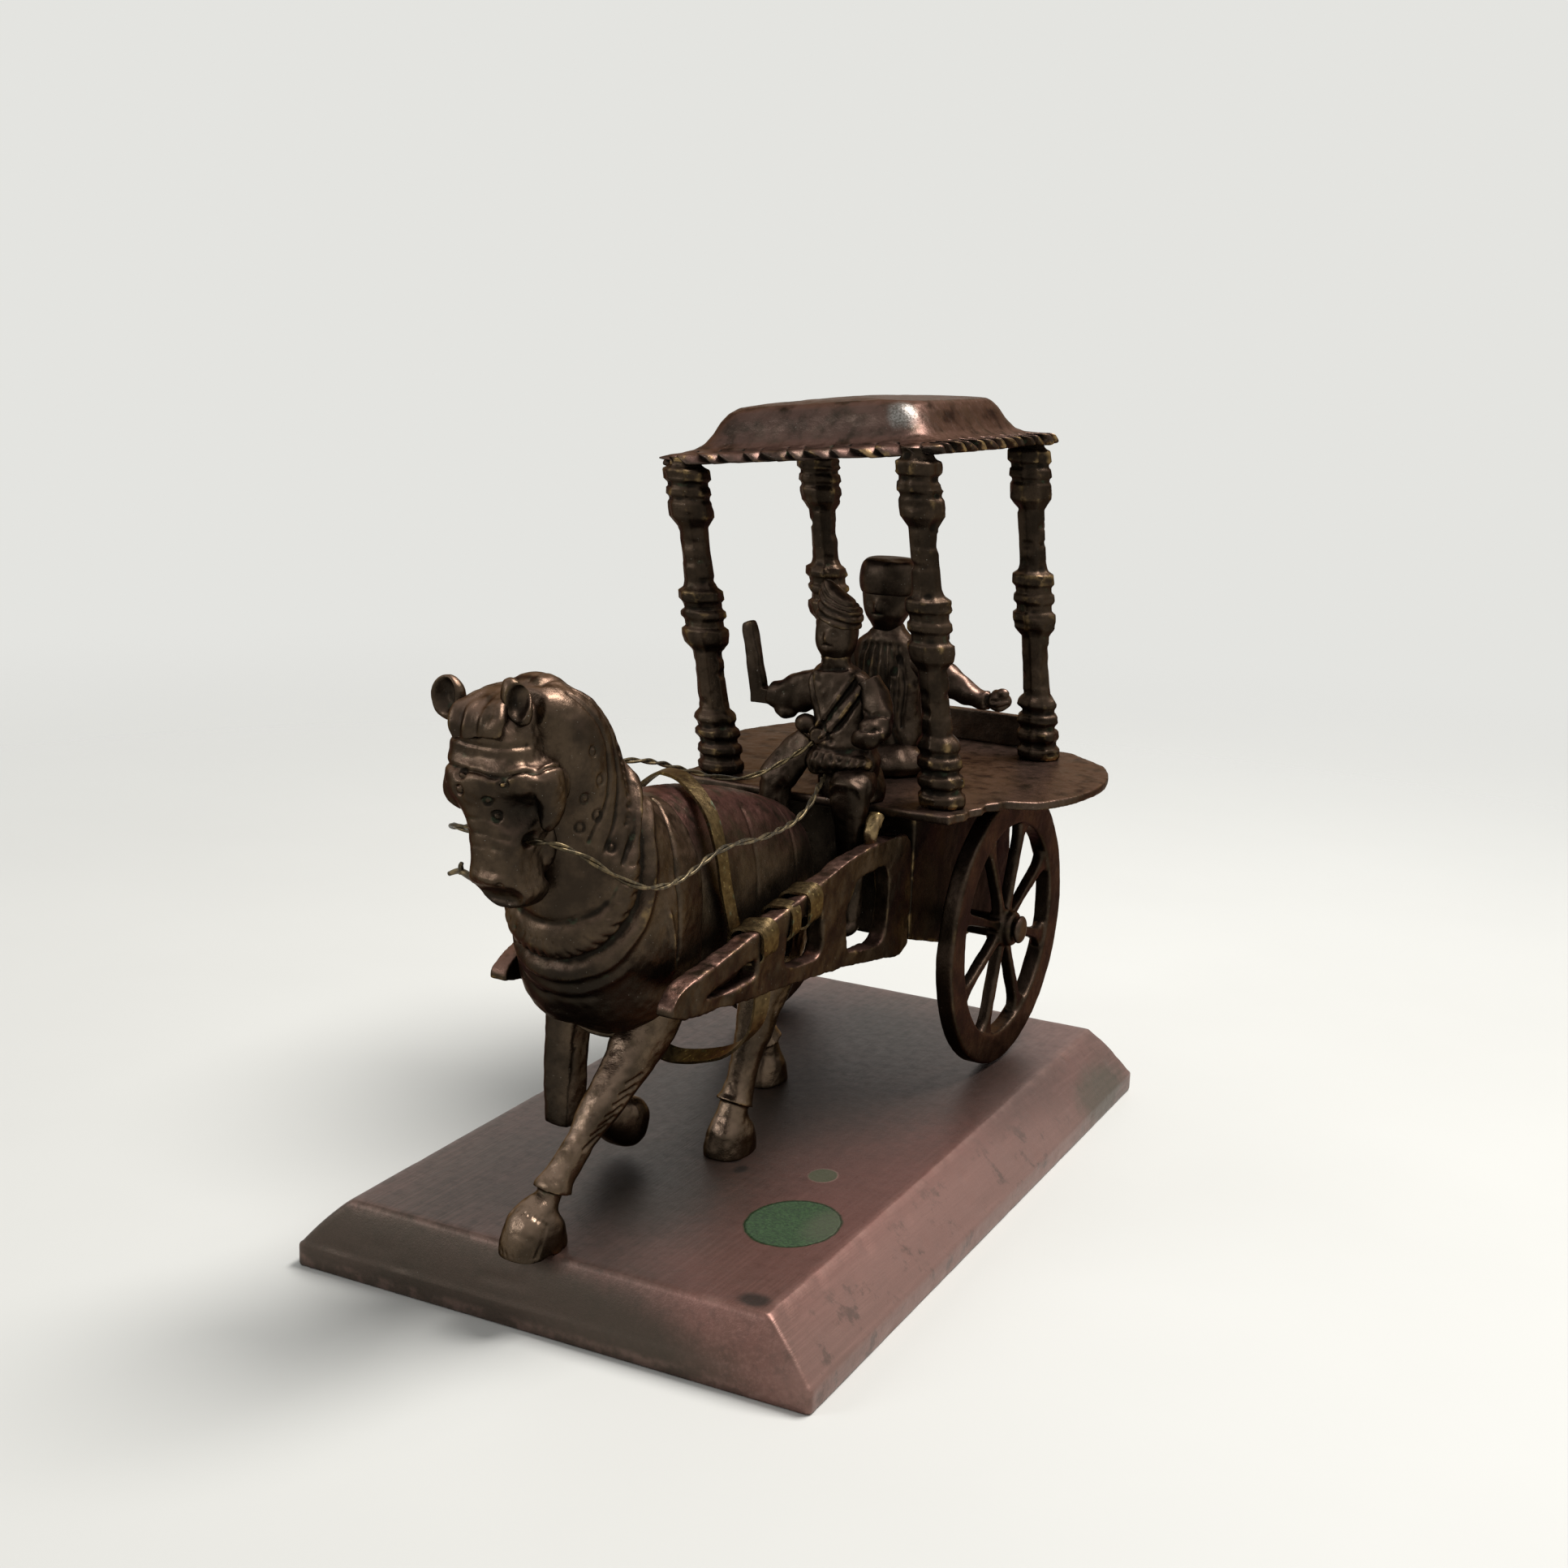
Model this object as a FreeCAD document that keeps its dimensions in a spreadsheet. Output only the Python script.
import FreeCAD, Part
import math
import os
import Sketcher

# A small cast-bronze passenger cart drawn by a trotting horse, on a bevelled
# plate.  Millimetres, +Z up, the horse faces -Y and its left side is +X.
# The origin is the centre of the plate's underside.

Vector = FreeCAD.Vector

SIZES = [
    # plate
    ("base_width", 80.0), ("base_length", 130.0), ("base_height", 10.6), ("base_rim", 3.4),
    ("base_side_inset", 7.4), ("base_end_inset", 2.6), ("base_turn", 2.2),
    # wheels and axle
    ("wheel_radius", 23.0), ("wheel_thickness", 3.0), ("wheel_inner_x", 20.2), ("wheel_rim_width", 4.4),
    ("wheel_lift", 0.3), ("spoke_width", 1.7), ("hub_radius", 3.3), ("hub_boss_radius", 2.1),
    ("hub_boss_length", 1.2), ("journal_radius", 1.2), ("running_gap", 0.06), ("side_gap", 0.3),
    ("axle_radius", 2.0), ("axle_y", 39.7), ("cap_radius", 1.9), ("cap_length", 1.0),
    # cart body and deck
    ("deck_over_axle", 25.0), ("deck_thickness", 1.5), ("deck_half_width", 24.0), ("deck_front", 9.8),
    ("deck_rear", 68.0), ("lobe_out", 16.0), ("lobe_along", 24.0), ("lobe_x", 18.8), ("lobe_y", 44.0),
    ("box_front", 18.3), ("box_rear", 58.0), ("box_under_axle", 3.4),
    ("box_nose_height", 21.9), ("board_half_width", 17.0), ("board_height", 5.6), ("board_thickness", 1.5),
    # shafts
    ("shaft_clearance", 1.4), ("shaft_width", 3.6), ("shaft_depth", 3.4), ("shaft_tip_y", -53.0),
    ("shaft_tip_drop", 15.3), ("shaft_rear_drop", 6.7), ("stay_rear_drop", 23.3), ("stay_depth", 2.6),
    ("post_width", 3.2), ("post_front_y", -23.0), ("post_middle_y", -1.2), ("peg_radius", 1.25),
    # pillars and roof
    ("pillar_x", 20.3), ("pillar_front_y", 16.0), ("pillar_rear_y", 59.5), ("pillar_height", 52.3),
    ("pillar_radius", 2.35), ("pillar_lean_x", -6.0), ("pillar_lean_y", -2.5), ("roof_roll", 5.9),
    ("brim_half_width", 25.1), ("brim_margin_y", 2.7), ("brim_thickness", 1.3), ("roof_height", 6.0),
    ("roof_side_inset", 9.6), ("roof_end_inset", 3.0), ("roof_foot_inset", 3.2), ("roof_wall", 1.4),
    # horse
    ("horse_x", 0.0), ("horse_drift", 0.01), ("barrel_half_width", 9.8), ("barrel_half_height", 16.2),
    ("barrel_mid_height", 40.3), ("rump_y", 3.5), ("barrel_front_y", -39.0), ("neck_over_barrel", 0.4),
    ("head_half_width", 5.5), ("leg_radius", 2.9),
    # straps and wires
    ("strap_width", 2.5), ("strap_thickness", 0.45), ("strap_stand_off", 1.2), ("belly_sag", 9.0),
    ("rein_diameter", 0.8), ("bit_radius", 0.45),
    # figures
    ("driver_x", 5.5), ("driver_y", 12.6), ("driver_size", 1.0),
    ("rider_x", 0.5), ("rider_y", 36.0), ("rider_size", 1.0),
]

doc = FreeCAD.newDocument("HorseCart")
sheet = doc.addObject("Spreadsheet::Sheet", "Sizes")
for row, (alias, size) in enumerate(SIZES, start=1):
    sheet.set("A%d" % row, str(size))
    sheet.setAlias("A%d" % row, alias)
doc.recompute()


def size(alias):
    """Value of one named cell."""
    return float(sheet.get(alias))


def cells(expression):
    """Expression text with every alias pointed at the sheet."""
    words = []
    word = ""
    for letter in expression + " ":
        if letter.isalnum() or letter == "_":
            word += letter
            continue
        words.append("Sizes." + word if word in ALIASES else word)
        words.append(letter)
        word = ""
    return "".join(words).strip()


ALIASES = {alias for alias, _ in SIZES}
SHAFT_X = "(barrel_half_width + shaft_clearance + shaft_width / 2)"
BOX_HALF_WIDTH = "(" + SHAFT_X + " + shaft_width / 2)"
AXLE_Z = "(base_height + wheel_lift + wheel_radius)"
DECK_Z = "(" + AXLE_Z + " + deck_over_axle)"
nodes = []


def node(obj, label):
    """Register a finished sub-part under its own name."""
    obj.Label = label
    nodes.append(obj)
    return obj


def bind(obj, **expressions):
    for prop, expression in expressions.items():
        obj.setExpression(prop, cells(str(expression)))
    return obj


def place(obj, x="0", y="0", z="0", axis=(0, 0, 1), angle="0"):
    """Placement whose position and turn follow the sheet."""
    spot = "create(<<vector>>; %s; %s; %s)" % (cells(str(x)), cells(str(y)), cells(str(z)))
    turn = "create(<<rotation>>; create(<<vector>>; %g; %g; %g); %s)" % (*axis, cells(str(angle)))
    obj.setExpression("Placement", "create(<<placement>>; %s; %s)" % (spot, turn))
    return obj


def primitive(kind, name, spot=("0", "0", "0"), axis=(0, 0, 1), angle="0", **sizes):
    obj = doc.addObject("Part::" + kind, name)
    bind(obj, **sizes)
    return place(obj, *spot, axis=axis, angle=angle)


def fuse(name, *objects):
    obj = doc.addObject("Part::MultiFuse", name)
    obj.Shapes = list(objects)
    return obj


def cut(name, base, tool):
    obj = doc.addObject("Part::Cut", name)
    obj.Base = base
    obj.Tool = tool
    return obj


def number(expression):
    """Present value of an expression in the sheet's words."""
    return float(sheet.evalExpression(cells(expression)))


def outline_sketch(body, name, plane_role, points, lift=None):
    """Closed polygon whose corners are tied to the sheet."""
    plane = [item for item in body.Origin.OriginFeatures if item.Role == plane_role][0]
    sketch = body.newObject("Sketcher::SketchObject", name)
    sketch.AttachmentSupport = [(plane, "")]
    sketch.MapMode = "FlatFace"
    if lift is not None:
        sketch.setExpression("AttachmentOffset.Base.z", cells(lift))
    spots = [(number(a), number(b)) for a, b in points]
    count = len(points)
    for index, (a, b) in enumerate(spots):
        c, d = spots[(index + 1) % count]
        sketch.addGeometry(Part.LineSegment(Vector(a, b, 0), Vector(c, d, 0)))
    for index in range(count):
        sketch.addConstraint(Sketcher.Constraint("Coincident", index, 2, (index + 1) % count, 1))
    for index, pair in enumerate(points):
        for way, expression, value in zip(("DistanceX", "DistanceY"), pair, spots[index]):
            tie = sketch.addConstraint(Sketcher.Constraint(way, -1, 1, index, 1, value))
            sketch.setExpression("Constraints[%d]" % tie, cells(expression))
    return sketch


def padded_body(name, plane_role, points, length, lift=None, midplane=False):
    """PartDesign body padded from one closed outline."""
    body = doc.addObject("PartDesign::Body", name)
    sketch = outline_sketch(body, name + "_outline", plane_role, points, lift)
    doc.recompute()
    pad = body.newObject("PartDesign::Pad", name + "_pad")
    pad.Profile = sketch
    pad.setExpression("Length", cells(length))
    pad.Midplane = midplane
    body.Tip = pad
    return body


def rounded_ring(centre, side, up, half_side, half_up, square=2.3, count=12):
    """Closed superellipse wire about a centre."""
    spots = []
    for step in range(count):
        turn = 2.0 * math.pi * step / count
        across = math.copysign(abs(math.cos(turn)) ** (2.0 / square), math.cos(turn)) * half_side
        along = math.copysign(abs(math.sin(turn)) ** (2.0 / square), math.sin(turn)) * half_up
        spots.append(centre + side * across + up * along)
    curve = Part.BSplineCurve()
    curve.interpolate(Points=spots, PeriodicFlag=True)
    return Part.Wire([curve.toShape()])


def eased(rows, parts=2):
    """Rows of numbers with evenly blended rows put in between them."""
    last = len(rows) - 1
    result = []
    for index in range(last):
        a, b, c, d = (rows[max(index - 1, 0)], rows[index], rows[index + 1], rows[min(index + 2, last)])
        for step in range(parts):
            t = step / parts
            result.append(tuple(
                q + 0.5 * t * (r - p + t * (2 * p - 5 * q + 4 * r - s + t * (3 * (q - r) + s - p)))
                for p, q, r, s in zip(a, b, c, d)))
    result.append(tuple(rows[last]))
    return result


def facing(ring):
    """Direction that a flat ring looks in."""
    return Part.Face(ring).normalAt(0.5, 0.5)


def skin(rings):
    """Closed solid through a row of rings, lofted in runs that each turn only a little."""
    runs = [[rings[0]]]
    first = facing(rings[0])
    for ring in rings[1:]:
        runs[-1].append(ring)
        if ring is not rings[-1] and first.getAngle(facing(ring)) > math.radians(30):
            runs.append([ring])
            first = facing(ring)
    solids = [Part.makeLoft(run, True, True) for run in runs]
    return solids[0].multiFuse(solids[1:]) if len(solids) > 1 else solids[0]


def limb(stations, reference=Vector(1, 0, 0), square=2.3):
    """Skin over stations (x, y, z, half_side, half_up); rings face along the limb."""
    stations = eased(stations)
    spots = [Vector(*station[:3]) for station in stations]
    rings = []
    for index, station in enumerate(stations):
        before = spots[max(index - 1, 0)]
        after = spots[min(index + 1, len(spots) - 1)]
        way = (after - before).normalize()
        side = (reference - way * reference.dot(way)).normalize()
        rings.append(rounded_ring(spots[index], side, way.cross(side), station[3], station[4], square))
    return skin(rings)


def shaped(label, shape):
    """Sub-part whose free-form skin is set in code from the sheet's values."""
    obj = doc.addObject("Part::Feature", label)
    solids = shape.Solids
    obj.Shape = solids[0] if len(solids) == 1 else Part.Compound(solids)
    return node(obj, label)


deck_z = number(DECK_Z)
shaft_x = number(SHAFT_X)


# ---------------------------------------------------------------- plate

def build_plate():
    """Bevelled plate: a low rim and a sloping shoulder up to the flat top."""
    rim = primitive("Box", "PlateRim", ("-base_width / 2", "-base_length / 2", "0"),
                    Length="base_width", Width="base_length", Height="base_rim")
    shoulder = doc.addObject("Part::Wedge", "PlateShoulder")
    bind(shoulder, Xmin="-base_width / 2", Xmax="base_width / 2", Ymin="0",
         Ymax="base_height - base_rim", Zmin="-base_length / 2", Zmax="base_length / 2",
         X2min="-base_width / 2 + base_side_inset", X2max="base_width / 2 - base_side_inset",
         Z2min="-base_length / 2 + base_end_inset", Z2max="base_length / 2 - base_end_inset")
    place(shoulder, z="base_rim", axis=(1, 0, 0), angle="90")
    plate = fuse("Plate", rim, shoulder)
    plate.Refine = True
    place(plate, angle="base_turn")
    node(plate, "base_plate")


# ---------------------------------------------------------------- wheels and axle

def build_wheel(side, label):
    """Ring and spoked centre of one wheel; side is +1 for the horse's left."""
    start = "wheel_inner_x" if side > 0 else "-wheel_inner_x - wheel_thickness"
    spot = (start, "axle_y", AXLE_Z)
    across = dict(axis=(0, 1, 0), angle="90")
    felloe = primitive("Cylinder", label + "_felloe", spot, Radius="wheel_radius",
                       Height="wheel_thickness", **across)
    hole = primitive("Cylinder", label + "_felloe_hole", spot, Radius="wheel_radius - wheel_rim_width",
                     Height="wheel_thickness", **across)
    node(cut(label + "_ring", felloe, hole), label + "_rim")

    spokes = []
    for step in range(8):
        spoke = doc.addObject("Part::Box", "%s_spoke_%d" % (label, step))
        bind(spoke, Length="wheel_thickness * 0.7", Width="spoke_width",
             Height="wheel_radius - wheel_rim_width / 2")
        base = "create(<<placement>>; create(<<vector>>; %s; %s; %s); create(<<rotation>>; " \
               "create(<<vector>>; 1; 0; 0); %g))" % (cells(start), cells("axle_y"), cells(AXLE_Z), step * 45 + 12)
        offset = "create(<<placement>>; create(<<vector>>; %s; %s; 0); create(<<rotation>>; " \
                 "create(<<vector>>; 1; 0; 0); 0))" % (cells("wheel_thickness * 0.15"), cells("-spoke_width / 2"))
        spoke.setExpression("Placement", base + " * " + offset)
        spokes.append(spoke)
    hub = primitive("Cylinder", label + "_hub", spot, Radius="hub_radius", Height="wheel_thickness", **across)
    boss_start = "wheel_inner_x + wheel_thickness" if side > 0 \
        else "-wheel_inner_x - wheel_thickness - hub_boss_length"
    boss = primitive("Cylinder", label + "_boss", (boss_start, "axle_y", AXLE_Z),
                     Radius="hub_boss_radius", Height="hub_boss_length", **across)
    bore_start = "wheel_inner_x - 1" if side > 0 else "-wheel_inner_x - wheel_thickness - hub_boss_length - 1"
    bore = primitive("Cylinder", label + "_bore", (bore_start, "axle_y", AXLE_Z),
                     Radius="journal_radius + running_gap",
                     Height="wheel_thickness + hub_boss_length + 2", **across)
    star = fuse(label + "_star", hub, boss, *spokes)
    bored = cut(label + "_bored", star, bore)
    rim_again = cut(label + "_ring_tool",
                    primitive("Cylinder", label + "_tool_outer", spot, Radius="wheel_radius + 1",
                              Height="wheel_thickness", **across),
                    primitive("Cylinder", label + "_tool_inner", spot,
                              Radius="wheel_radius - wheel_rim_width", Height="wheel_thickness", **across))
    node(cut(label + "_centre", bored, rim_again), label + "_spokes")


def build_axle():
    """Fixed axle: a thick middle that stops short of the wheels and two journals."""
    across = dict(axis=(0, 1, 0), angle="90")
    middle = primitive("Cylinder", "AxleMiddle", ("-wheel_inner_x + side_gap", "axle_y", AXLE_Z),
                       Radius="axle_radius", Height="2 * (wheel_inner_x - side_gap)", **across)
    reach = "(wheel_inner_x + wheel_thickness + hub_boss_length + side_gap)"
    journal = primitive("Cylinder", "AxleJournal", ("-" + reach, "axle_y", AXLE_Z),
                        Radius="journal_radius", Height="2 * " + reach, **across)
    node(fuse("Axle", middle, journal), "axle")
    node(primitive("Cylinder", "AxleCapLeft", (reach, "axle_y", AXLE_Z), Radius="cap_radius",
                   Height="cap_length", **across), "axle_cap_left")
    node(primitive("Cylinder", "AxleCapRight", ("-" + reach + " - cap_length", "axle_y", AXLE_Z),
                   Radius="cap_radius", Height="cap_length", **across), "axle_cap_right")


# ---------------------------------------------------------------- cart body

def build_cart_body():
    """Box between the wheels, its floor dropping from the front to below the axle."""
    floor = AXLE_Z + " - box_under_axle"
    top = DECK_Z + " - deck_thickness"
    outline = [("box_front", top), ("box_front", DECK_Z + " - deck_thickness - box_nose_height"),
               ("axle_y - 2 * axle_radius", floor), ("box_rear", floor), ("box_rear", top)]
    body = padded_body("CartBox", "YZ_Plane", outline, "2 * " + BOX_HALF_WIDTH, midplane=True)
    bore = primitive("Cylinder", "CartBoxBore", ("-" + BOX_HALF_WIDTH + " - 1", "axle_y", AXLE_Z),
                     Radius="axle_radius", Height="2 * " + BOX_HALF_WIDTH + " + 2", axis=(0, 1, 0), angle="90")
    node(cut("CartBody", body, bore), "cart_body")


PEG_Y = "(deck_front - peg_radius * 0.6)"


def build_deck():
    """Thin deck with a round lobe over each wheel."""
    plank = primitive("Box", "DeckPlank", ("-deck_half_width", "deck_front", DECK_Z + " - deck_thickness"),
                      Length="2 * deck_half_width", Width="deck_rear - deck_front", Height="deck_thickness")
    parts = [plank]
    for side, name in ((1, "Left"), (-1, "Right")):
        edge = doc.addObject("Part::Ellipse", "DeckLobeEdge" + name)
        bind(edge, MajorRadius="max(lobe_along; lobe_out)", MinorRadius="min(lobe_along; lobe_out)")
        place(edge, "%d * lobe_x" % side, "lobe_y", DECK_Z + " - deck_thickness", angle="90")
        lobe = doc.addObject("Part::Extrusion", "DeckLobe" + name)
        lobe.Base = edge
        lobe.DirMode = "Custom"
        lobe.Dir = Vector(0, 0, 1)
        lobe.Solid = True
        bind(lobe, LengthFwd="deck_thickness")
        parts.append(lobe)
    for side, name in ((1, "Left"), (-1, "Right")):
        notch = primitive("Cylinder", "DeckNotch" + name, ("%d * %s" % (side, SHAFT_X), PEG_Y, DECK_Z + " - 10"),
                          Radius="peg_radius", Height="20")
        parts.append(notch)
    plain = fuse("DeckPlain", *parts[:3])
    notches = fuse("DeckNotches", *parts[3:])
    deck = cut("Deck", plain, notches)
    deck.Refine = True
    node(deck, "deck")
    node(primitive("Box", "BackBoard", ("-board_half_width", "deck_rear - board_thickness - 1", DECK_Z),
                   Length="2 * board_half_width", Width="board_thickness", Height="board_height"),
         "back_board")


# ---------------------------------------------------------------- shafts

def bar_z(y):
    """Expression of the top bar's centre height at an expression y."""
    slope = "(shaft_tip_drop - shaft_rear_drop) / (box_front - shaft_tip_y)"
    return "(%s - shaft_tip_drop + %s * (%s - shaft_tip_y))" % (DECK_Z, slope, y)


def bar_height(y):
    """Present centre height of the top bar at a number y."""
    return number(bar_z("(%g)" % y))


def stay_z(y):
    """Expression of the lower bar's centre height at an expression y."""
    low_tip = "(shaft_tip_drop + shaft_depth - 0.2)"
    slope = "(" + low_tip + " - stay_rear_drop) / (box_front - shaft_tip_y)"
    return "(%s - %s + %s * (%s - shaft_tip_y))" % (DECK_Z, low_tip, slope, y)


def build_shaft(side, name):
    """Top bar, lower bar and posts of one open shaft frame, and its peg."""
    centre = "%d * %s" % (side, SHAFT_X)
    half = "shaft_depth / 2"
    low = "stay_depth / 2"
    nose = "shaft_tip_y"
    heel = "box_front"

    top = [(nose, bar_z(nose) + " - " + half), (heel, bar_z(heel) + " - " + half),
           (heel, bar_z(heel) + " + " + half), (nose + " + 4", bar_z(nose + " + 4") + " + " + half),
           (nose, bar_z(nose) + " + shaft_depth * 0.15")]
    bar = padded_body("ShaftBar" + name, "YZ_Plane", top, "shaft_width", midplane=True)
    place(bar, centre)
    node(bar, "shaft_bar_" + name.lower())

    start = nose + " + 3"
    under = bar_z(start) + " - " + half
    lower = [(start, stay_z(start) + " - " + low), (heel, stay_z(heel) + " - " + low),
             (heel, stay_z(heel) + " + " + low),
             (nose + " + 14", stay_z(nose + " + 14") + " + " + low), (start, under)]
    stay = padded_body("ShaftStay" + name, "YZ_Plane", lower, "shaft_width * 0.8", midplane=True)
    place(stay, centre)
    node(stay, "shaft_stay_" + name.lower())

    places = (("front", "post_front_y"), ("middle", "post_middle_y"), ("rear", "box_front - post_width / 2"))
    posts = []
    for word, y in places:
        near = "(" + y + " - post_width / 2)"
        far = "(" + y + " + post_width / 2)"
        corners = [(near, stay_z(near) + " + " + low), (far, stay_z(far) + " + " + low),
                   (far, bar_z(far) + " - " + half), (near, bar_z(near) + " - " + half)]
        post = padded_body("ShaftPost%s%s" % (name, word), "YZ_Plane", corners, "shaft_width * 0.8",
                           midplane=True)
        place(post, centre)
        posts.append(post)
    rungs = doc.addObject("Part::Compound", "ShaftPosts" + name)
    rungs.Links = posts
    node(rungs, "shaft_posts_" + name.lower())

    peg = primitive("Cylinder", "ShaftPeg" + name, (centre, PEG_Y, bar_z(PEG_Y)), Radius="peg_radius",
                    Height=DECK_Z + " - deck_thickness * 0.4 - " + bar_z(PEG_Y))
    tool = padded_body("ShaftPegTool" + name, "YZ_Plane", top, "shaft_width + 2", midplane=True)
    place(tool, centre)
    node(cut("ShaftPegSeated" + name, peg, tool), "shaft_peg_" + name.lower())


# ---------------------------------------------------------------- pillars and roof

PILLAR_PROFILE = [
    # height as a share of the pillar, radius as a share of the shank
    (0.00, 1.30), (0.035, 1.45), (0.055, 1.18), (0.075, 1.18), (0.095, 1.42), (0.12, 1.15), (0.15, 1.36),
    (0.175, 1.00), (0.38, 0.98), (0.41, 1.38), (0.445, 1.10), (0.465, 1.36), (0.495, 1.10), (0.52, 1.40),
    (0.55, 1.02), (0.78, 0.95), (0.81, 1.32), (0.84, 1.10), (0.86, 1.35), (0.89, 1.15), (0.93, 1.36),
    (1.12, 1.36),
]


def roof_plane():
    """Placement expression of the roof: leaning with the pillars and rolled."""
    return dict(x="pillar_lean_x", y="(pillar_front_y + pillar_rear_y) / 2 + pillar_lean_y",
                z=DECK_Z + " + pillar_height", axis=(0, 1, 0), angle="-roof_roll")


def build_pillars():
    for side, hand in ((1, "left"), (-1, "right")):
        for end in ("front", "rear"):
            rings = []
            for step, (share, fat) in enumerate(PILLAR_PROFILE):
                ring = doc.addObject("Part::Circle", "Pillar_%s_%s_%d" % (end, hand, step))
                bind(ring, Radius="pillar_radius * %g" % fat)
                place(ring, "%d * pillar_x + pillar_lean_x * %g" % (side, share),
                      "pillar_%s_y + pillar_lean_y * %g" % (end, share),
                      DECK_Z + " + pillar_height * %g" % share)
                rings.append(ring)
            skin = doc.addObject("Part::Loft", "PillarSkin_%s_%s" % (end, hand))
            skin.Sections = rings
            skin.Solid = True
            skin.Ruled = True
            above = primitive("Box", "PillarTrim_%s_%s" % (end, hand), Length="4 * brim_half_width",
                              Width="4 * brim_half_width", Height="4 * brim_half_width")
            over = roof_plane()
            base = "create(<<placement>>; create(<<vector>>; %s; %s; %s); create(<<rotation>>; " \
                   "create(<<vector>>; 0; 1; 0); %s))" % tuple(
                       cells(over[key]) for key in ("x", "y", "z", "angle"))
            offset = "create(<<placement>>; create(<<vector>>; %s; %s; 0); create(<<rotation>>; " \
                     "create(<<vector>>; 0; 0; 1); 0))" % ((cells("-2 * brim_half_width"),) * 2)
            above.setExpression("Placement", base + " * " + offset)
            node(cut("Pillar_%s_%s" % (end, hand), skin, above), "pillar_%s_%s" % (end, hand))


def build_roof():
    """Thin flat brim and a hollow hipped crown."""
    half_long = "((pillar_rear_y - pillar_front_y) / 2 + brim_margin_y)"

    def crown(name, shrink, lift, height):
        hip = doc.addObject("Part::Wedge", name)
        foot = "roof_foot_inset + " + shrink
        bind(hip, Xmin="-brim_half_width + " + foot, Xmax="brim_half_width - (%s)" % foot,
             Zmin="-%s + %s" % (half_long, foot), Zmax="%s - (%s)" % (half_long, foot),
             Ymin="0", Ymax=height,
             X2min="-brim_half_width + roof_side_inset + " + shrink,
             X2max="brim_half_width - roof_side_inset - " + shrink,
             Z2min="-%s + roof_end_inset + roof_foot_inset + %s" % (half_long, shrink),
             Z2max="%s - roof_end_inset - roof_foot_inset - %s" % (half_long, shrink))
        place(hip, z=lift, axis=(1, 0, 0), angle="90")
        return hip

    brim = primitive("Box", "RoofBrim", ("-brim_half_width", "-" + half_long, "0"),
                     Length="2 * brim_half_width", Width="2 * " + half_long, Height="brim_thickness")
    outside = crown("RoofCrown", "0", "brim_thickness", "roof_height")
    # the hollow starts below the brim's underside so that it is open downward
    inside = crown("RoofHollow", "roof_wall", "-0.4", "roof_height + brim_thickness - roof_wall + 0.4")
    shell = cut("RoofShell", fuse("RoofSolid", brim, outside), inside)
    place(shell, **roof_plane())
    node(shell, "roof")


# ---------------------------------------------------------------- horse

base_top = size("base_height")
mid = base_top + size("barrel_mid_height")


def centre_x(y):
    """The horse stands a little askew between the shafts."""
    return size("horse_x") + size("horse_drift") * y


def barrel_shape():
    """Rump and trunk along Y: (share of length from rump, width, height, rise)."""
    length = size("rump_y") - size("barrel_front_y")
    wide = size("barrel_half_width")
    tall = size("barrel_half_height")
    table = [(0.0, 0.30, 0.26, -1.6), (0.035, 0.58, 0.50, -1.7), (0.11, 0.83, 0.70, -2.0),
             (0.26, 0.97, 0.86, -1.5), (0.48, 1.00, 0.94, -0.7), (0.72, 1.00, 0.99, 0.1),
             (1.0, 0.98, 1.00, 0.4)]
    rings = []
    for share, width, height, rise in eased(table):
        y = size("rump_y") - share * length
        rings.append(rounded_ring(Vector(centre_x(y), y, mid + rise), Vector(1, 0, 0), Vector(0, 0, 1),
                                  wide * width, tall * height))
    return skin(rings)


def neck_shape():
    """Breast and arched neck: (y, z over the barrel's middle, half width, half depth, tilt)."""
    wide = (size("barrel_half_width") + size("neck_over_barrel"))
    front = size("barrel_front_y")
    table = [(0.0, 0.6, 1.00, 17.2, 0), (-7.5, 0.8, 1.03, 17.4, 14), (-12.5, 4.5, 1.00, 15.6, 32),
             (-14.5, 11.0, 0.86, 12.4, 48), (-15.6, 19.0, 0.70, 9.2, 64), (-18.2, 26.5, 0.58, 7.6, 66),
             (-21.5, 31.6, 0.47, 5.6, 46), (-25.0, 33.6, 0.36, 3.8, 20)]
    rings = []
    for ahead, rise, width, depth, tilt in eased(table):
        y = front + ahead
        bend = -1.5 * max(0.0, (rise - 10.0) / 22.0)
        turn = math.radians(tilt)
        up = Vector(0, math.sin(turn), math.cos(turn))
        rings.append(rounded_ring(Vector(centre_x(y) + bend, y, mid + rise), Vector(1, 0, 0), up,
                                  wide * width, depth))
    return skin(rings)


HEAD_X = -1.6


def head_shape():
    """Skull from poll to muzzle: (z over the barrel's middle, y, half width, half depth)."""
    wide = size("head_half_width")
    front = size("barrel_front_y")
    table = [(35.0, -27.6, 0.55, 3.2), (32.0, -26.9, 0.88, 5.4), (26.5, -26.2, 1.04, 6.4),
             (21.5, -26.0, 1.02, 6.4), (17.0, -26.2, 0.84, 5.4), (12.0, -26.6, 0.70, 4.3),
             (9.0, -26.2, 0.80, 4.6), (7.0, -25.6, 0.62, 3.6)]
    rings = []
    for rise, ahead, width, depth in eased(table):
        y = front + ahead
        rings.append(rounded_ring(Vector(centre_x(y) + HEAD_X, y, mid + rise), Vector(1, 0, 0),
                                  Vector(0, 1, 0), wide * width, depth))
    return skin(rings)


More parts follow.
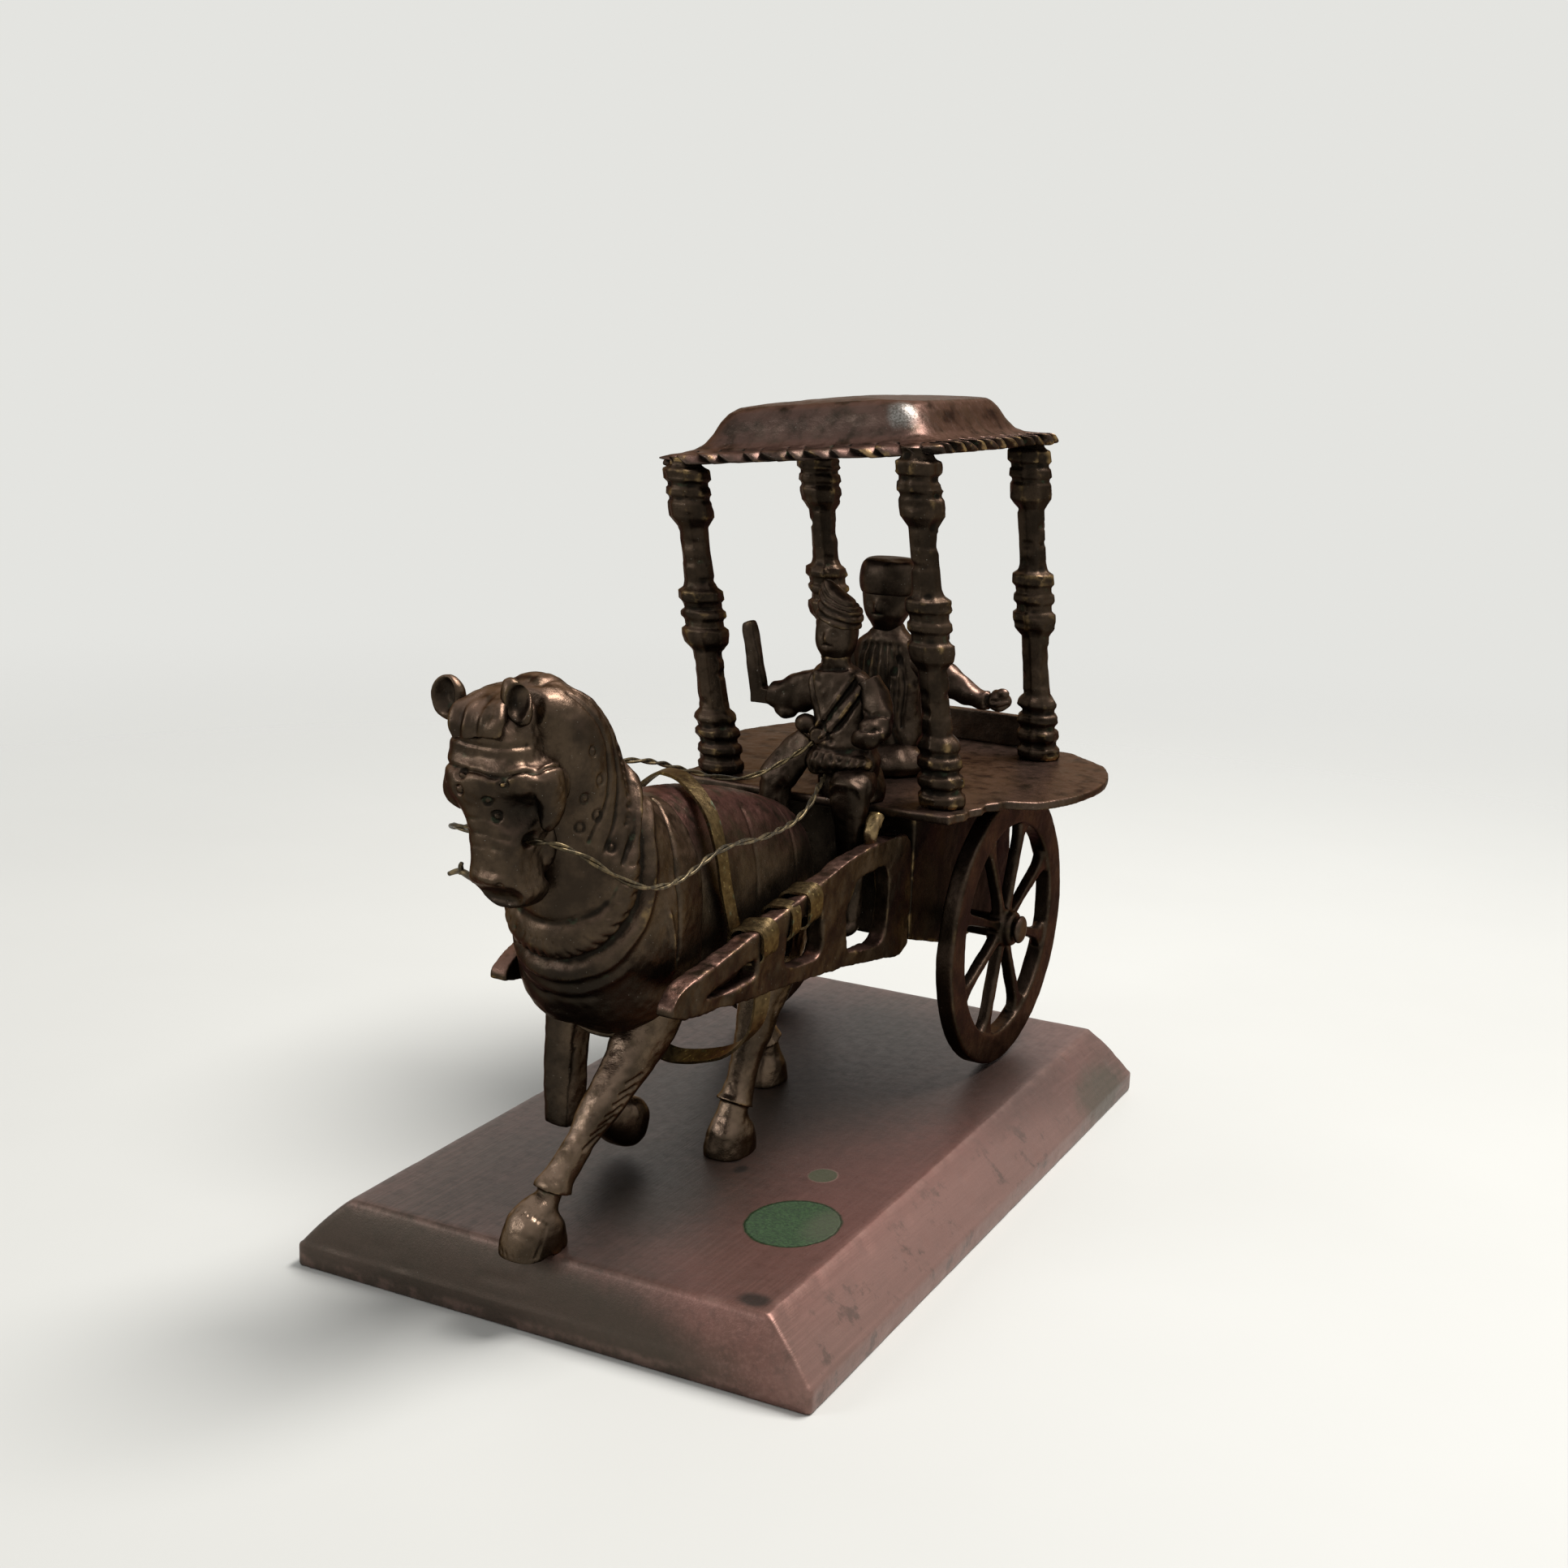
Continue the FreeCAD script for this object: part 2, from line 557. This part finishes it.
def leg_shapes():
    """Four legs, each from inside the trunk to its hoof."""
    thick = size("leg_radius")
    top = mid - size("barrel_half_height")
    floor = base_top
    near_fore = limb([
        (3.4, -37.5, top + 6.5, 1.7 * thick, 1.9 * thick), (3.6, -41.5, top + 0.8, 1.35 * thick, 1.6 * thick),
        (2.6, -47.0, top - 3.8, 1.02 * thick, 1.1 * thick), (1.8, -51.3, floor + 18.2, thick, 1.05 * thick),
        (0.8, -56.2, floor + 12.4, 0.82 * thick, 0.82 * thick), (-0.2, -60.3, floor + 7.6, 1.18 * thick, 1.18 * thick),
        (-0.5, -61.3, floor + 6.2, 0.80 * thick, 0.85 * thick), (-0.7, -61.8, floor + 4.6, 1.10 * thick, 1.30 * thick),
        (-0.8, -62.2, floor + 1.6, 1.30 * thick, 1.55 * thick), (-0.8, -62.2, floor - 0.8, 1.20 * thick, 1.45 * thick)])
    off_fore = limb([
        (-6.6, -41.0, top + 6.0, 1.2 * thick, 1.6 * thick), (-7.0, -43.0, top + 0.5, 0.95 * thick, 1.1 * thick),
        (-7.2, -44.2, top - 6.0, 0.9 * thick, 0.9 * thick), (-7.3, -44.8, floor + 11.6, 0.95 * thick, 0.95 * thick),
        (-7.3, -44.8, floor + 9.0, 0.9 * thick, 0.85 * thick)])
    off_cannon = limb([
        (-7.3, -45.0, floor + 10.6, 0.6 * thick, 0.5 * thick), (-7.3, -42.6, floor + 10.3, 0.8 * thick, 0.7 * thick),
        (-7.3, -38.5, floor + 9.6, 0.62 * thick, 0.66 * thick), (-7.3, -34.6, floor + 8.4, 0.7 * thick, 0.74 * thick),
        (-7.3, -31.4, floor + 6.6, 1.05 * thick, 1.15 * thick), (-7.3, -29.0, floor + 4.4, 1.15 * thick, 1.2 * thick)])
    off_fore = off_fore.fuse(off_cannon)
    near_hind = limb([
        (5.0, -9.5, top + 7.0, 1.4 * thick, 2.4 * thick), (5.4, -11.5, top + 1.5, 1.2 * thick, 1.9 * thick),
        (5.2, -14.2, floor + 18.0, 0.86 * thick, 1.1 * thick), (5.0, -16.6, floor + 12.0, 0.74 * thick, 0.85 * thick),
        (4.8, -18.0, floor + 7.6, 1.02 * thick, 1.05 * thick), (4.8, -18.6, floor + 6.2, 0.76 * thick, 0.80 * thick),
        (4.7, -19.0, floor + 4.6, 1.0 * thick, 1.2 * thick), (4.7, -19.4, floor + 1.5, 1.2 * thick, 1.5 * thick),
        (4.7, -19.4, floor - 0.8, 1.1 * thick, 1.4 * thick)])
    off_hind = limb([
        (-5.4, -6.0, top + 8.0, 1.4 * thick, 2.4 * thick), (-5.6, -3.0, top + 2.5, 1.2 * thick, 1.9 * thick),
        (-5.5, 2.6, floor + 17.0, 0.86 * thick, 1.1 * thick), (-5.4, 6.2, floor + 11.6, 0.74 * thick, 0.85 * thick),
        (-5.4, 8.0, floor + 7.6, 1.02 * thick, 1.05 * thick), (-5.4, 8.5, floor + 6.1, 0.76 * thick, 0.80 * thick),
        (-5.4, 8.8, floor + 4.4, 1.0 * thick, 1.2 * thick), (-5.4, 8.8, floor + 1.5, 1.2 * thick, 1.5 * thick),
        (-5.4, 8.8, floor - 0.8, 1.1 * thick, 1.4 * thick)])
    return {"leg_fore_left": near_fore, "leg_fore_right": off_fore,
            "leg_hind_left": near_hind, "leg_hind_right": off_hind}


def build_horse():
    front = size("barrel_front_y")
    barrel = barrel_shape()
    head = head_shape()
    neck = neck_shape().cut(barrel).cut(head)
    shaped("horse_barrel", barrel)
    shaped("horse_neck", neck)
    shaped("horse_head", head)
    ground = Part.makeBox(400, 400, 40, Vector(-200, -200, base_top - 40))
    for label, leg in leg_shapes().items():
        shaped(label, leg.cut(barrel).cut(neck).cut(ground))

    head_x = centre_x(front - 27.0) + HEAD_X
    for side, hand in ((1, "left"), (-1, "right")):
        ear = limb([(head_x + side * 3.4, front - 27.4, mid + 31.5, 1.6, 1.2),
                    (head_x + side * 4.2, front - 28.6, mid + 34.5, 2.0, 1.2),
                    (head_x + side * 4.7, front - 29.4, mid + 37.0, 1.7, 1.0),
                    (head_x + side * 4.8, front - 29.8, mid + 38.4, 0.7, 0.6)])
        shaped("ear_" + hand, ear.cut(head).cut(neck))
    lock = limb([(head_x, front - 28.0, mid + 37.2, 2.2, 1.3), (head_x, front - 30.6, mid + 36.4, 2.8, 1.3),
                 (head_x, front - 33.2, mid + 32.6, 2.7, 1.1), (head_x, front - 33.9, mid + 28.6, 1.9, 0.8)])
    shaped("forelock", lock.cut(head).cut(neck))
    tail_x = centre_x(size("rump_y")) + 0.8
    tail = limb([(tail_x, size("rump_y") - 3.0, mid + 5.6, 1.3, 1.3), (tail_x, size("rump_y") + 0.3, mid + 4.2, 1.4, 1.2),
                 (tail_x, size("rump_y") + 1.0, mid - 2.0, 1.4, 1.2), (tail_x, size("rump_y") + 0.8, mid - 9.0, 1.2, 1.1),
                 (tail_x, size("rump_y") + 0.4, mid - 15.0, 0.7, 0.7)])
    shaped("tail", tail.cut(barrel))
    reach = (size("barrel_half_width") + size("neck_over_barrel"))
    round_x = centre_x(front - 8.0)
    half_path = [(0.99, 3.0, 4.4), (1.04, -2.0, 3.2), (1.07, -7.0, 1.6), (1.05, -12.5, 0.2), (0.90, -18.5, -0.9),
                 (0.58, -21.6, -1.6), (0.0, -22.8, -1.9)]
    path = [(1, *point) for point in half_path] + [(-1, *point) for point in reversed(half_path[:-1])]
    collar = limb([(round_x + side * wide * reach, front + ahead, mid + rise, 4.2, 1.5)
                   for side, wide, ahead, rise in path], Vector(0, 0, 1))
    shaped("breast_collar", collar.cut(neck).cut(barrel).cut(head))
    return barrel, neck, head


# ---------------------------------------------------------------- straps, bit and reins

def band(points, y, wide):
    """Thin strip of constant thickness whose middle line runs through (x, z) points."""
    thick = size("strap_thickness") / 2.0
    count = len(points)
    outer, inner = [], []
    for index in range(count):
        before = points[max(index - 1, 0)]
        after = points[min(index + 1, count - 1)]
        run = math.hypot(after[0] - before[0], after[1] - before[1])
        across = (-(after[1] - before[1]) / run * thick, (after[0] - before[0]) / run * thick)
        outer.append(Vector(points[index][0] + across[0], y, points[index][1] + across[1]))
        inner.append(Vector(points[index][0] - across[0], y, points[index][1] - across[1]))
    sides = []
    for row in (outer, list(reversed(inner))):
        curve = Part.BSplineCurve()
        curve.interpolate(Points=row)
        sides.append(curve)
    edges = [sides[0].toShape(), Part.LineSegment(outer[-1], inner[-1]).toShape(), sides[1].toShape(),
             Part.LineSegment(inner[0], outer[0]).toShape()]
    return Part.Face(Part.Wire(edges)).extrude(Vector(0, wide, 0))


def build_straps(barrel, neck):
    wide = size("strap_width")
    y = -31.0
    inner = shaft_x - size("shaft_width") / 2.0
    between = Part.makeBox(2 * inner, 200, 200, Vector(-inner, -100, 0))
    over = size("barrel_half_width") + 0.45
    seat = bar_height(y + wide / 2.0)
    top = mid + size("barrel_half_height") + size("strap_stand_off")
    middle = centre_x(y)
    arch = [(-inner - 0.5, seat - 0.2), (-inner + 0.4, seat + 1.8), (-over - 0.3, seat + 7.5)]
    for step in range(1, 8):
        turn = math.pi - math.pi * step / 8.0
        arch.append((middle + over * math.cos(turn), top - 13.0 + 13.0 * math.sin(turn)))
    arch += [(over + 0.3, seat + 7.5), (inner - 0.4, seat + 1.8), (inner + 0.5, seat - 0.2)]
    shaped("girth_strap", band(arch, y, wide).common(between).cut(barrel).cut(neck))

    seat = bar_height(y + wide * 1.5 + 2.0)
    low = mid - size("barrel_half_height") - size("belly_sag")
    loop = [(-inner - 0.5, seat + 0.6)]
    for step in range(0, 9):
        turn = math.pi + math.pi * step / 8.0
        loop.append(((inner - 0.5) * math.cos(turn), seat - 2.2 + (seat - 2.2 - low) * math.sin(turn)))
    loop.append((inner + 0.5, seat + 0.6))
    shaped("belly_strap", band(loop, y + wide + 2.0, wide).common(between).cut(barrel))

    thick = size("strap_thickness")
    half_wide = size("shaft_width") / 2.0
    half_deep = size("shaft_depth") / 2.0
    slope = math.degrees(math.atan2(bar_height(10.0) - bar_height(0.0), 10.0))
    for side, hand in ((1, "left"), (-1, "right")):
        turns = []
        for step in range(3):
            spot = -20.4 + step * (wide + 0.55)
            outer = Part.makeBox(2 * (half_wide + thick), wide, 2 * (half_deep + thick),
                                 Vector(-half_wide - thick, 0, -half_deep - thick))
            inner = Part.makeBox(2 * half_wide, wide, 2 * half_deep, Vector(-half_wide, 0, -half_deep))
            turn = outer.cut(inner)
            turn.rotate(Vector(0, 0, 0), Vector(1, 0, 0), slope)
            turn.translate(Vector(side * shaft_x, spot, bar_height(spot)))
            turns.append(turn)
        shaped("strap_wrap_" + hand, Part.Compound(turns))


def bent_tube(points, diameter):
    """Round wire along straight runs joined by tangent arcs; prints its radii and length."""
    edges, radii = [], []
    spots = [Vector(*point) for point in points]
    here = spots[0]
    length = 0.0
    for index in range(1, len(spots) - 1):
        corner = spots[index]
        back = (spots[index - 1] - corner)
        ahead = (spots[index + 1] - corner)
        shorter = min(back.Length, ahead.Length)
        angle = math.pi - back.getAngle(ahead)
        trim = 0.45 * shorter
        radius = trim / math.tan(angle / 2.0)
        enter = corner + back.normalize() * trim
        leave = corner + ahead.normalize() * trim
        to_centre = (back + ahead).normalize()
        centre = corner + to_centre * (radius / math.cos(angle / 2.0))
        edges.append(Part.LineSegment(here, enter).toShape())
        edges.append(Part.Arc(enter, centre - to_centre * radius, leave).toShape())
        radii.append(round(radius, 1))
        length += (enter - here).Length + radius * angle
        here = leave
    edges.append(Part.LineSegment(here, spots[-1]).toShape())
    length += (spots[-1] - here).Length
    path = Part.Wire(edges)
    start = (spots[1] - spots[0]).normalize()
    section = Part.Wire([Part.Circle(spots[0], start, diameter / 2.0).toShape()])
    tube = path.makePipeShell([section], True, True, 1)
    ratio = tube.Volume / (length * math.pi * diameter ** 2 / 4.0)
    print("tube length %.1f volume ratio %.3f radii %s" % (length, ratio, radii))
    return tube


REIN_LEFT = [(1.0, -66.6, 67.2), (5.0, -68.2, 68.4), (8.6, -65.2, 66.6), (10.6, -61.4, 63.4), (12.0, -56.6, 60.8),
             (12.4, -51.0, 60.0), (12.3, -45.4, 60.5), (12.0, -39.6, 61.8), (11.8, -33.2, 61.9),
             (11.7, -26.8, 61.0), (11.3, -20.4, 60.9), (10.8, -14.2, 61.0), (10.1, -8.4, 62.4),
             (9.2, -3.2, 64.4), (9.0, 1.6, 66.5), (10.4, 6.4, 67.9)]
REIN_RIGHT = [(-4.6, -66.6, 67.2), (-9.0, -68.2, 68.2), (-12.0, -64.8, 67.0), (-13.6, -60.0, 65.6),
              (-14.2, -54.2, 65.0), (-13.6, -48.0, 65.6), (-12.6, -41.8, 67.4), (-11.2, -35.4, 69.2),
              (-9.6, -28.8, 69.8), (-8.2, -22.2, 68.6), (-7.0, -15.6, 66.2), (-5.6, -9.2, 64.2),
              (-4.0, -3.0, 63.6), (-2.0, 2.6, 65.0), (0.9, 7.6, 68.2)]


def build_wires(head, left_hand, right_hand):
    """Bit wire and the two reins, each ending in the piece that holds it."""
    bit = Part.makeCylinder(size("bit_radius"), 8.0, Vector(-4.4, -65.0, 61.2), Vector(-1, 0, 0.05))
    shaped("bit_wire", bit.cut(head))
    shaped("rein_left", bent_tube(REIN_LEFT, size("rein_diameter")).cut(head).cut(left_hand))
    shaped("rein_right", bent_tube(REIN_RIGHT, size("rein_diameter")).cut(head).cut(right_hand))


# ---------------------------------------------------------------- figures

def column(x, y, z, table, scale, square=2.3):
    """Upright skin: (rise, forward, half width, half depth)."""
    rings = [rounded_ring(Vector(x + aside * scale, y + ahead * scale, z + rise * scale), Vector(1, 0, 0),
                          Vector(0, 1, 0), wide * scale, deep * scale, square)
             for rise, aside, ahead, wide, deep in eased(table)]
    return skin(rings)


def build_driver():
    """Turbaned driver on the deck's front edge, whip hand raised."""
    x, y, scale = size("driver_x"), size("driver_y"), size("driver_size")
    coat = column(x, y, deck_z, [
        (0.0, 0, 0, 5.4, 4.3), (3.0, 0, 0, 5.6, 4.7), (7.5, 0, -0.4, 4.5, 3.7), (12.0, 0, -0.8, 4.9, 3.8),
        (16.0, -0.4, -0.9, 4.9, 3.5), (18.2, -0.8, -0.9, 3.4, 2.6), (19.4, -1.0, -1.0, 2.0, 2.0)], scale)
    head = column(x - 1.2 * scale, y - 1.0 * scale, deck_z, [
        (19.4, 0, 0, 1.8, 1.9), (21.0, 0, -0.2, 2.6, 2.9), (23.5, 0, -0.2, 3.1, 3.3), (26.4, 0, 0, 3.1, 3.3)], scale)
    turban = column(x - 1.2 * scale, y - 1.0 * scale, deck_z, [
        (26.4, 0, 0, 3.4, 3.6), (28.2, 0, 0, 3.7, 3.9), (30.4, -0.4, 0.2, 2.9, 3.1), (32.4, -1.3, 0.4, 1.5, 1.7),
        (33.6, -1.9, 0.5, 0.5, 0.6)], scale)
    shaped("driver_coat", coat)
    shaped("driver_head", head)
    shaped("driver_turban", turban)

    def at(dx, dy, dz, side, up):
        return (x + dx * scale, y + dy * scale, deck_z + dz * scale, side * scale, up * scale)

    left_thigh = limb([at(2.9, -1.6, 2.7, 2.5, 2.3), at(2.9, -4.0, 2.7, 2.7, 2.4), at(2.9, -7.2, 2.5, 2.4, 2.1)])
    left_shin = limb([at(2.9, -6.3, 4.2, 2.1, 1.8), at(3.0, -6.5, 1.6, 2.6, 2.5), at(3.4, -6.1, -6.6, 2.3, 2.3),
                      at(4.0, -5.6, -13.6, 1.9, 2.0), at(4.2, -5.8, -17.0, 1.9, 2.3), at(4.3, -6.2, -19.4, 1.8, 2.6)])
    right_thigh = limb([at(-3.4, -1.2, 2.7, 2.3, 2.2), at(-6.4, -3.8, 2.6, 2.4, 2.2), at(-8.8, -6.2, 2.4, 2.0, 2.0)])
    right_shin = limb([at(-8.7, -5.6, 4.0, 1.8, 1.6), at(-8.8, -5.8, 1.4, 2.1, 2.1), at(-9.2, -5.4, -6.6, 1.9, 2.1),
                       at(-9.5, -5.2, -13.6, 1.7, 1.9), at(-9.7, -5.4, -17.0, 1.7, 2.2),
                       at(-9.7, -5.8, -19.4, 1.6, 2.5)])
    left_leg = left_thigh.fuse(left_shin)
    right_leg = right_thigh.fuse(right_shin)
    deck_block = Part.makeBox(100, 100, size("deck_thickness"),
                              Vector(-50, size("deck_front"), deck_z - size("deck_thickness")))
    shaped("driver_leg_left", left_leg.cut(coat).cut(deck_block))
    shaped("driver_leg_right", right_leg.cut(coat).cut(deck_block))
    left_arm = limb([at(4.0, -0.9, 15.4, 1.7, 1.7), at(6.0, -1.3, 12.2, 1.7, 1.7), at(6.2, -3.6, 9.6, 1.5, 1.5),
                     at(5.0, -6.0, 9.0, 1.5, 1.5)], Vector(0, 1, 0))
    right_arm = limb([at(-4.2, -0.9, 15.6, 1.5, 1.6), at(-6.6, -1.6, 13.8, 1.5, 1.6), at(-9.6, -2.2, 13.0, 1.4, 1.5),
                      at(-11.4, -2.4, 12.9, 1.2, 1.3)], Vector(0, 0, 1))
    rein_hand = limb([at(-3.6, -3.2, 7.6, 1.4, 1.4), at(-4.4, -4.6, 9.4, 1.6, 1.5), at(-4.6, -5.6, 10.2, 1.3, 1.2)])
    left_hand = left_arm.cut(coat)
    shaped("driver_arm_left", left_hand)
    arm = right_arm.cut(coat)
    shaped("driver_arm_right", arm)
    right_hand = rein_hand.cut(coat).cut(left_leg).cut(right_leg)
    shaped("driver_rein_hand", right_hand)
    whip = limb([at(-10.8, -2.3, 12.9, 1.3, 1.2), at(-14.4, -2.4, 13.0, 1.3, 1.3), at(-16.2, -2.4, 15.0, 1.3, 1.3),
                 at(-16.6, -2.4, 20.0, 1.3, 1.2), at(-17.2, -2.4, 26.2, 1.1, 1.0)], Vector(0, 1, 0))
    shaped("whip_grip", whip.cut(arm))
    return left_hand, right_hand


def build_rider():
    """Passenger with a flat cap, seated on the deck with one arm held out."""
    x, y, scale = size("rider_x"), size("rider_y"), size("rider_size")

    def at(dx, dy, dz, side, up):
        return (x + dx * scale, y + dy * scale, deck_z + dz * scale, side * scale, up * scale)

    lap = column(x, y - 2.0 * scale, deck_z, [
        (0.0, 0, 0, 8.6, 6.8), (1.8, 0, 0, 8.8, 7.0), (3.6, 0, 0.4, 7.8, 6.0), (4.6, 0, 0.8, 5.6, 4.6)], scale)
    coat = column(x, y, deck_z, [
        (3.0, 0, 0, 5.6, 4.4), (8.0, 0, 0, 5.5, 4.2), (13.0, 0, 0, 5.9, 4.0), (17.5, 0, 0, 6.2, 3.7),
        (20.6, 0, 0, 4.8, 3.0), (22.0, 0, 0, 2.2, 2.1)], scale)
    head = column(x + 0.2 * scale, y - 0.4 * scale, deck_z, [
        (22.0, 0, 0, 2.0, 2.1), (23.6, 0, -0.2, 2.9, 3.1), (26.0, 0, -0.2, 3.4, 3.6), (28.4, 0, 0, 3.4, 3.6)], scale)
    cap = column(x + 0.2 * scale, y - 0.4 * scale, deck_z, [
        (28.4, 0, 0, 3.8, 4.0), (31.0, 0, 0, 4.0, 4.2), (33.6, 0, 0, 4.3, 4.5), (35.0, 0, 0, 4.1, 4.3)], scale)
    body = coat.cut(lap)
    shaped("rider_lap", lap)
    shaped("rider_coat", body)
    shaped("rider_head", head)
    shaped("rider_cap", cap)
    left_arm = limb([at(4.4, 0, 18.6, 2.0, 2.0), at(8.0, -0.2, 16.6, 2.0, 2.0), at(12.4, -0.4, 14.6, 1.6, 1.6),
                     at(17.0, -0.6, 13.8, 1.4, 1.5), at(21.4, -0.8, 13.8, 1.7, 1.7), at(23.2, -0.8, 13.6, 1.0, 1.0)],
                    Vector(0, 0, 1))
    right_arm = limb([at(-5.0, 0, 18.0, 1.8, 1.8), at(-7.0, -0.6, 14.0, 1.8, 1.8), at(-6.8, -3.6, 9.6, 1.6, 1.6),
                      at(-4.2, -6.0, 6.4, 1.4, 1.4)], Vector(0, 1, 0))
    shaped("rider_arm_left", left_arm.cut(coat))
    shaped("rider_arm_right", right_arm.cut(coat).cut(lap))


# ---------------------------------------------------------------- assembly

build_plate()
build_wheel(1, "left_wheel")
build_wheel(-1, "right_wheel")
build_axle()
build_cart_body()
build_deck()
for hand_side, hand_name in ((1, "Left"), (-1, "Right")):
    build_shaft(hand_side, hand_name)
build_pillars()
build_roof()
trunk, neck_piece, skull = build_horse()
build_straps(trunk, neck_piece)
hand_left, hand_right = build_driver()
build_wires(skull, hand_left, hand_right)
build_rider()

doc.recompute()

faults = []
for item in doc.Objects:
    if "Invalid" in item.State or "Error" in item.State:
        faults.append("%s: %s" % (item.Name, item.State))
for item in nodes:
    if item.Shape.isNull() or not item.Shape.isValid() or not item.Shape.Solids:
        faults.append("%s: bad shape" % item.Label)
if faults:
    raise RuntimeError("; ".join(faults))

os.makedirs("parts", exist_ok=True)
for item in nodes:
    item.Shape.exportStep(os.path.join("parts", item.Label + ".step"))
print("%d nodes written" % len(nodes))
